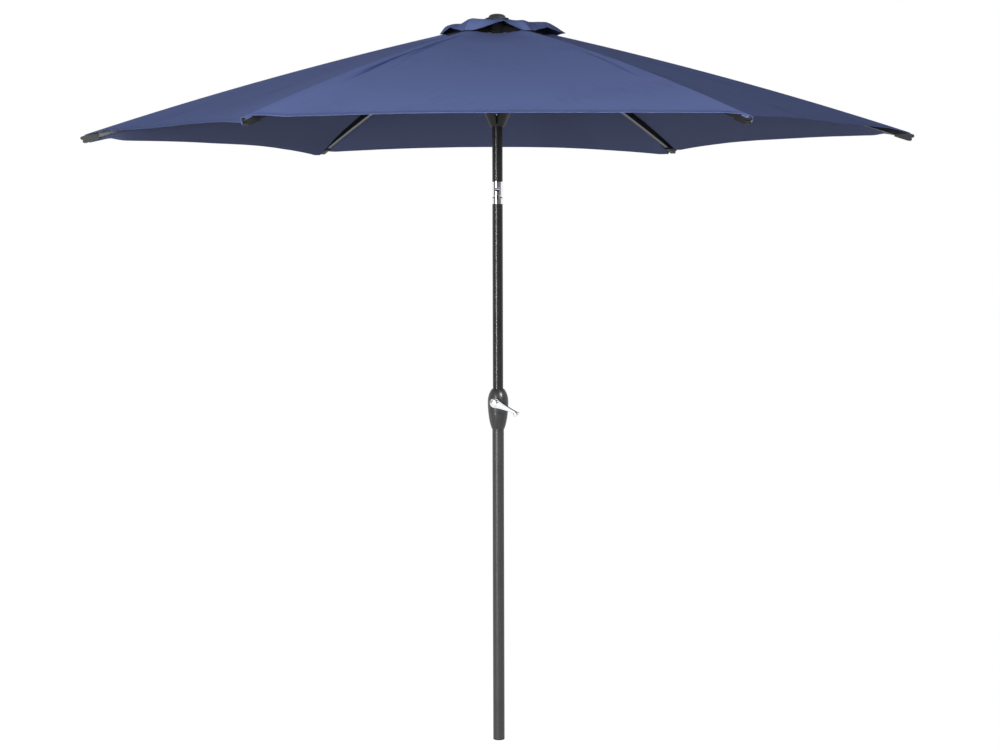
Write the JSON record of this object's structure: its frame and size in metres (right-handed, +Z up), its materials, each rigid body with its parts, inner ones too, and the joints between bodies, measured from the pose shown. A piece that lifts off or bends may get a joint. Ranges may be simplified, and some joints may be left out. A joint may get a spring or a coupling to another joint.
{
  "type": "patio umbrella",
  "caption": "Crank-lift patio umbrella with a hexagonal vented cloth canopy on folding ribs and struts, a push-button tilt joint and a bare pole foot that slips into a separate stand.",
  "frame": {"origin": "middle of the pole's bottom end", "axes": "+Z up the pole, +X along the first rib, the crank faces -Y, stored open and upright"},
  "size_m": [2.7034, 2.3496, 2.3815],
  "materials": {
    "pole_paint": "satin black paint",
    "frame_paint": "satin black paint",
    "black_plastic": "moulded",
    "housing_plastic": "fine grain",
    "navy_cloth": "woven polyester",
    "chrome": "polished",
    "steel": "zinc plated",
    "brass": "machined"
  },
  "bodies": {
    "pole": {"lower_pole": "pole_paint", "pole_foot_plug": "black_plastic", "middle_pole": "pole_paint", "pole_joint_screws": "steel", "crank_housing_front": "housing_plastic", "crank_housing_rear": "housing_plastic", "housing_screws": "steel", "shaft_bushes": "brass", "brake_spring": "steel", "tilt_lower_knuckle": "chrome", "tilt_pivot_bolt": "chrome", "tilt_button_spring": "steel"},
    "mast": {"tilt_upper_knuckle": "chrome", "mast_tube": "pole_paint", "top_hub": "black_plastic", "hub_ring": "steel", "hub_cover": "black_plastic", "pulley_axle": "steel", "finial": "black_plastic", "vent_cap": "navy_cloth"},
    "rib_1": {"rib_1": "frame_paint", "rib_tip_1": "black_plastic", "strut_rivet_1": "steel", "canopy_gore_1": "navy_cloth"},
    "rib_2": {"rib_2": "frame_paint", "rib_tip_2": "black_plastic", "strut_rivet_2": "steel", "canopy_gore_2": "navy_cloth"},
    "rib_3": {"rib_3": "frame_paint", "rib_tip_3": "black_plastic", "strut_rivet_3": "steel", "canopy_gore_3": "navy_cloth"},
    "rib_4": {"rib_4": "frame_paint", "rib_tip_4": "black_plastic", "strut_rivet_4": "steel", "canopy_gore_4": "navy_cloth"},
    "rib_5": {"rib_5": "frame_paint", "rib_tip_5": "black_plastic", "strut_rivet_5": "steel", "canopy_gore_5": "navy_cloth"},
    "rib_6": {"rib_6": "frame_paint", "rib_tip_6": "black_plastic", "strut_rivet_6": "steel", "canopy_gore_6": "navy_cloth"},
    "strut_1": {"strut_1": "frame_paint"},
    "strut_2": {"strut_2": "frame_paint"},
    "strut_3": {"strut_3": "frame_paint"},
    "strut_4": {"strut_4": "frame_paint"},
    "strut_5": {"strut_5": "frame_paint"},
    "strut_6": {"strut_6": "frame_paint"},
    "runner": {"runner": "black_plastic", "runner_ring": "steel"},
    "crank": {"crank_shaft": "steel", "cord_spool": "black_plastic", "crank_handle": "chrome", "handle_cap": "chrome", "knob_pin": "steel"},
    "knob": {"handle_knob": "chrome"},
    "tilt_button": {"tilt_button": "black_plastic"},
    "pulley": {"hub_pulley": "black_plastic"}
  },
  "joints": [
    {"name": "tilt", "type": "hinge", "parent": "pole", "child": "mast", "pos_m": [0, 0, 1.805], "axis": [-1, 0, 0], "range_deg": [-35, 0]},
    {"name": "rib_1_fold", "type": "hinge", "parent": "mast", "child": "rib_1", "pos_m": [0.036, 0, 2.333], "axis": [0, 1, 0], "range_deg": [0, 70.37], "deforming": ["canopy_gore_1", "vent_cap"]},
    {"name": "rib_2_fold", "type": "hinge", "parent": "mast", "child": "rib_2", "pos_m": [0.018, 0.03118, 2.333], "axis": [-0.866, 0.5, 0], "range_deg": [0, 70.37], "deforming": ["canopy_gore_2"]},
    {"name": "rib_3_fold", "type": "hinge", "parent": "mast", "child": "rib_3", "pos_m": [-0.018, 0.03118, 2.333], "axis": [-0.866, -0.5, 0], "range_deg": [0, 70.37], "deforming": ["canopy_gore_3"]},
    {"name": "rib_4_fold", "type": "hinge", "parent": "mast", "child": "rib_4", "pos_m": [-0.036, 0, 2.333], "axis": [0, -1, 0], "range_deg": [0, 70.37], "deforming": ["canopy_gore_4"]},
    {"name": "rib_5_fold", "type": "hinge", "parent": "mast", "child": "rib_5", "pos_m": [-0.018, -0.03118, 2.333], "axis": [0.866, -0.5, 0], "range_deg": [0, 70.37], "deforming": ["canopy_gore_5"]},
    {"name": "rib_6_fold", "type": "hinge", "parent": "mast", "child": "rib_6", "pos_m": [0.018, -0.03118, 2.333], "axis": [0.866, 0.5, 0], "range_deg": [0, 70.37], "deforming": ["canopy_gore_6"]},
    {"name": "strut_1_swing", "type": "hinge", "parent": "rib_1", "child": "strut_1", "pos_m": [0.5031, 0, 2.20229], "axis": [0, 1, 0], "range_deg": [-140.73, 0]},
    {"name": "strut_2_swing", "type": "hinge", "parent": "rib_2", "child": "strut_2", "pos_m": [0.25155, 0.43569, 2.20229], "axis": [-0.866, 0.5, 0], "range_deg": [-140.73, 0]},
    {"name": "strut_3_swing", "type": "hinge", "parent": "rib_3", "child": "strut_3", "pos_m": [-0.25155, 0.43569, 2.20229], "axis": [-0.866, -0.5, 0], "range_deg": [-140.73, 0]},
    {"name": "strut_4_swing", "type": "hinge", "parent": "rib_4", "child": "strut_4", "pos_m": [-0.5031, 0, 2.20229], "axis": [0, -1, 0], "range_deg": [-140.73, 0]},
    {"name": "strut_5_swing", "type": "hinge", "parent": "rib_5", "child": "strut_5", "pos_m": [-0.25155, -0.43569, 2.20229], "axis": [0.866, -0.5, 0], "range_deg": [-140.73, 0]},
    {"name": "strut_6_swing", "type": "hinge", "parent": "rib_6", "child": "strut_6", "pos_m": [0.25155, -0.43569, 2.20229], "axis": [0.866, 0.5, 0], "range_deg": [-140.73, 0]},
    {"name": "runner_pivot", "type": "hinge", "parent": "strut_1", "child": "runner", "pos_m": [0.036, 0, 2.07158], "axis": [0, 1, 0], "range_deg": [0, 70.37]},
    {"name": "crank_turn", "type": "hinge", "parent": "pole", "child": "crank", "pos_m": [0, 0, 1.123], "axis": [-0.2588, -0.9659, 0], "continuous": true},
    {"name": "pulley_turn", "type": "hinge", "parent": "mast", "child": "pulley", "pos_m": [0, 0.011, 2.327], "axis": [1, 0, 0], "continuous": true},
    {"name": "knob_spin", "type": "hinge", "parent": "crank", "child": "knob", "pos_m": [0.07469, -0.02001, 1.09018], "axis": [-0.2588, -0.9659, 0], "continuous": true},
    {"name": "tilt_button", "type": "slide", "parent": "pole", "child": "tilt_button", "axis": [0, 1, 0], "range_m": [0, 0.003], "stiffness_N_per_m": 600, "springref_m": -0.002, "deforming": ["tilt_button_spring"]}
  ],
  "couplings": [
    {"joint": "rib_2_fold", "follows": "rib_1_fold", "ratio": 1},
    {"joint": "rib_3_fold", "follows": "rib_1_fold", "ratio": 1},
    {"joint": "rib_4_fold", "follows": "rib_1_fold", "ratio": 1},
    {"joint": "rib_5_fold", "follows": "rib_1_fold", "ratio": 1},
    {"joint": "rib_6_fold", "follows": "rib_1_fold", "ratio": 1},
    {"joint": "strut_1_swing", "follows": "rib_1_fold", "ratio": -2},
    {"joint": "strut_2_swing", "follows": "rib_1_fold", "ratio": -2},
    {"joint": "strut_3_swing", "follows": "rib_1_fold", "ratio": -2},
    {"joint": "strut_4_swing", "follows": "rib_1_fold", "ratio": -2},
    {"joint": "strut_5_swing", "follows": "rib_1_fold", "ratio": -2},
    {"joint": "strut_6_swing", "follows": "rib_1_fold", "ratio": -2},
    {"joint": "runner_pivot", "follows": "rib_1_fold", "ratio": 1},
    {"joint": "crank_turn", "follows": "rib_1_fold", "ratio": 57.511},
    {"joint": "pulley_turn", "follows": "rib_1_fold", "ratio": -57.511}
  ]
}
